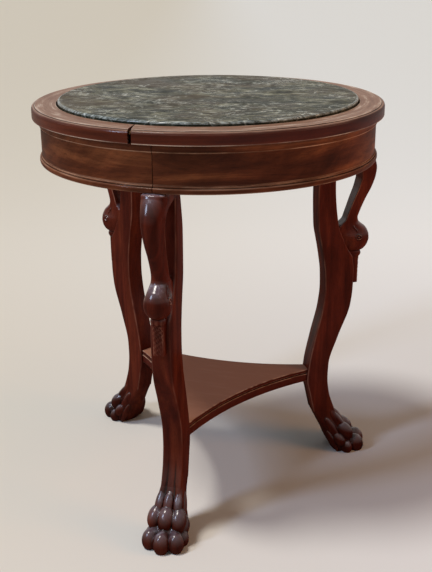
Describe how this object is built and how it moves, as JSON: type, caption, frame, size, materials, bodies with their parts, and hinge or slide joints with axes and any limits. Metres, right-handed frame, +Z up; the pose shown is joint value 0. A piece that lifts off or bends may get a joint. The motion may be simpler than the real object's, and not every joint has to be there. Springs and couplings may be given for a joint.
{
  "type": "tripod side table",
  "caption": "Round side table with an inset marble slab, a moulded wooden apron, swan-neck legs on lion paws and a hollow-sided shelf between them.",
  "frame": {"origin": "on the floor under the middle of the top, in the plane of the paws' soles", "axes": "+Z up along the axis of the round top, -Y towards the front leg, +X to the right of it"},
  "size_m": [0.6, 0.6191, 0.721],
  "materials": {
    "rim_mahogany": "worn french polish",
    "polished_mahogany": "french polish",
    "carved_mahogany": "french polish",
    "shelf_mahogany": "dull polish",
    "pine_carcase": "planed, unfinished",
    "beech_dowel": "turned, unfinished",
    "green_marble": "polished",
    "steel_screw": "plain"
  },
  "bodies": {
    "table": {"rim_right": "rim_mahogany", "rim_back": "rim_mahogany", "rim_left": "rim_mahogany", "apron_right": "polished_mahogany", "apron_back": "polished_mahogany", "apron_left": "polished_mahogany", "cove_moulding_right": "polished_mahogany", "cove_moulding_back": "polished_mahogany", "cove_moulding_left": "polished_mahogany", "bead_moulding_right": "polished_mahogany", "bead_moulding_back": "polished_mahogany", "bead_moulding_left": "polished_mahogany", "leg_front": "carved_mahogany", "leg_right": "carved_mahogany", "leg_left": "carved_mahogany", "swan_neck_front": "carved_mahogany", "swan_neck_right": "carved_mahogany", "swan_neck_left": "carved_mahogany", "paw_front": "carved_mahogany", "paw_right": "carved_mahogany", "paw_left": "carved_mahogany", "shelf": "shelf_mahogany", "sub_top_front": "pine_carcase", "sub_top_middle": "pine_carcase", "sub_top_back": "pine_carcase", "batten_left": "pine_carcase", "batten_right": "pine_carcase", "leg_block_front": "pine_carcase", "leg_block_right": "pine_carcase", "leg_block_left": "pine_carcase", "rim_splines": "beech_dowel", "rim_dowels": "beech_dowel", "leg_dowels": "beech_dowel", "neck_dowels": "beech_dowel", "head_dowels": "beech_dowel", "paw_dowels": "beech_dowel", "shelf_dowels": "beech_dowel", "block_screws": "steel_screw", "batten_screws": "steel_screw"},
    "marble": {"marble_top": "green_marble"}
  },
  "joints": [
    {"name": "marble_lift", "type": "slide", "parent": "table", "child": "marble", "axis": [0, 0, 1], "range_m": [0, 0.12]}
  ]
}
